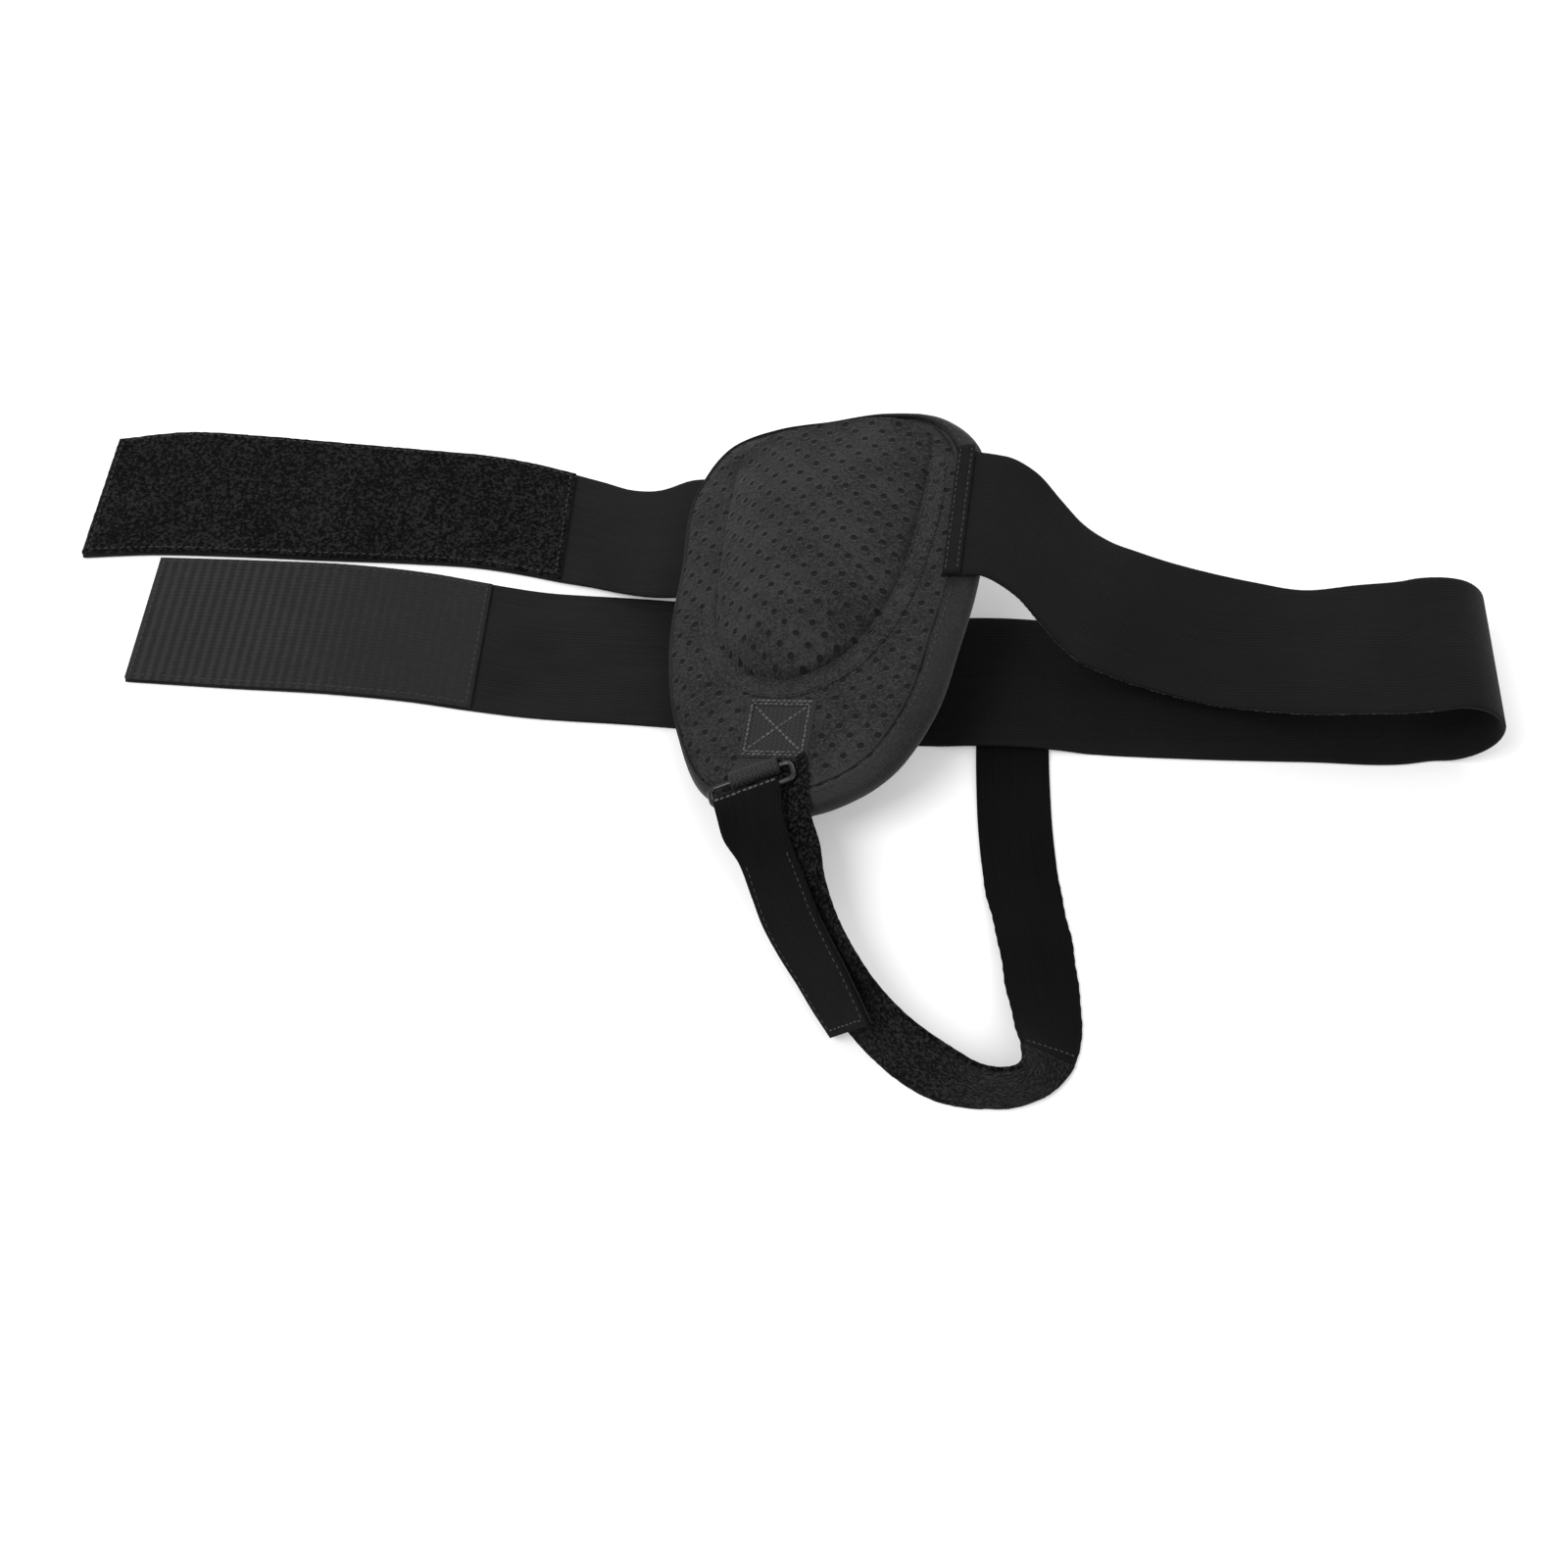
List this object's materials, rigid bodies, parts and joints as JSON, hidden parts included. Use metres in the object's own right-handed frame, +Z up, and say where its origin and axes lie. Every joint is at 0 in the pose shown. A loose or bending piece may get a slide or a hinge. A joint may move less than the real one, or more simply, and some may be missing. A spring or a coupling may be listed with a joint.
{
  "type": "groin protector",
  "caption": "Padded groin shield with a pocket and removable insert on an elastic waist belt that closes with hook and loop, and a leg strap that folds through a ring.",
  "frame": {"origin": "middle of the footprint, on the table the belt lies on", "axes": "+X along the waist belt from its free ends to the turn, +Y towards the top of the shield, +Z up from the table, towards the outer face of the shield"},
  "size_m": [0.5636, 0.2823, 0.0537],
  "materials": {
    "lining_fabric": "brushed knit lining",
    "foam": "closed-cell foam sheet",
    "spacer_mesh": "perforated spacer mesh",
    "binding_knit": "folded stretch binding",
    "thread": "sewing thread",
    "insert_cloth": "knit cover",
    "webbing": "flat woven webbing",
    "ring_plastic": "moulded plastic, glossy",
    "waist_elastic": "wide woven elastic",
    "hook_tape": "hook side of a hook-and-loop tape",
    "loop_pile": "brushed loop pile",
    "leg_elastic": "narrow woven elastic",
    "leg_pile": "brushed loop pile on elastic"
  },
  "bodies": {
    "belt": {"back_lining": "lining_fabric", "foam_core": "foam", "front_panel": "spacer_mesh", "edge_binding": "binding_knit", "edge_stitching": "thread", "pocket_panel": "spacer_mesh", "pocket_flange": "binding_knit", "pocket_stitching": "thread", "webbing_tab": "webbing", "tab_stitching": "thread", "tab_loop": "webbing", "waist_back_run": "waist_elastic", "waist_turn": "waist_elastic", "waist_front_run": "waist_elastic", "band_hem": "waist_elastic", "hem_stitching": "thread", "closing_strap_lap": "waist_elastic", "leg_elastic_strap": "leg_elastic", "leg_pile_strap": "leg_pile", "leg_seam_stitching": "thread", "leg_anchor_stitching": "thread"},
    "insert": {"insert_cover": "insert_cloth", "insert_core": "foam"},
    "ring": {"strap_ring": "ring_plastic", "leg_strap_fold": "leg_elastic"},
    "flap": {"leg_flap": "leg_elastic", "leg_hook_tape": "hook_tape", "leg_flap_stitching": "thread"},
    "closing": {"closing_strap": "waist_elastic", "loop_patch": "loop_pile", "loop_patch_stitching": "thread"},
    "tail": {"tail_strap": "waist_elastic", "hook_patch": "hook_tape", "hook_patch_stitching": "thread"}
  },
  "joints": [
    {"name": "insert_slide", "type": "slide", "parent": "belt", "child": "insert", "axis": [0.0385, 0.9973, 0.0619], "range_m": [0, 0.12]},
    {"name": "ring_hinge", "type": "hinge", "parent": "belt", "child": "ring", "pos_m": [0.00182, -0.02795, 0.02496], "axis": [-0.9206, -0.3036, -0.2454], "range_deg": [0, 30]},
    {"name": "flap_hinge", "type": "hinge", "parent": "ring", "child": "flap", "pos_m": [0.00397, -0.03461, 0.02514], "axis": [-0.9206, -0.3036, -0.2454], "range_deg": [0, 110]},
    {"name": "closing_strap_hinge", "type": "hinge", "parent": "belt", "child": "closing", "pos_m": [-0.03426, 0.09363, 0.00778], "axis": [0.0385, 0.9973, 0.0619], "range_deg": [0, 70]},
    {"name": "tail_hinge", "type": "hinge", "parent": "belt", "child": "tail", "pos_m": [-0.05615, 0.0364, 0.0016], "axis": [0, 1, 0], "range_deg": [0, 70]}
  ]
}
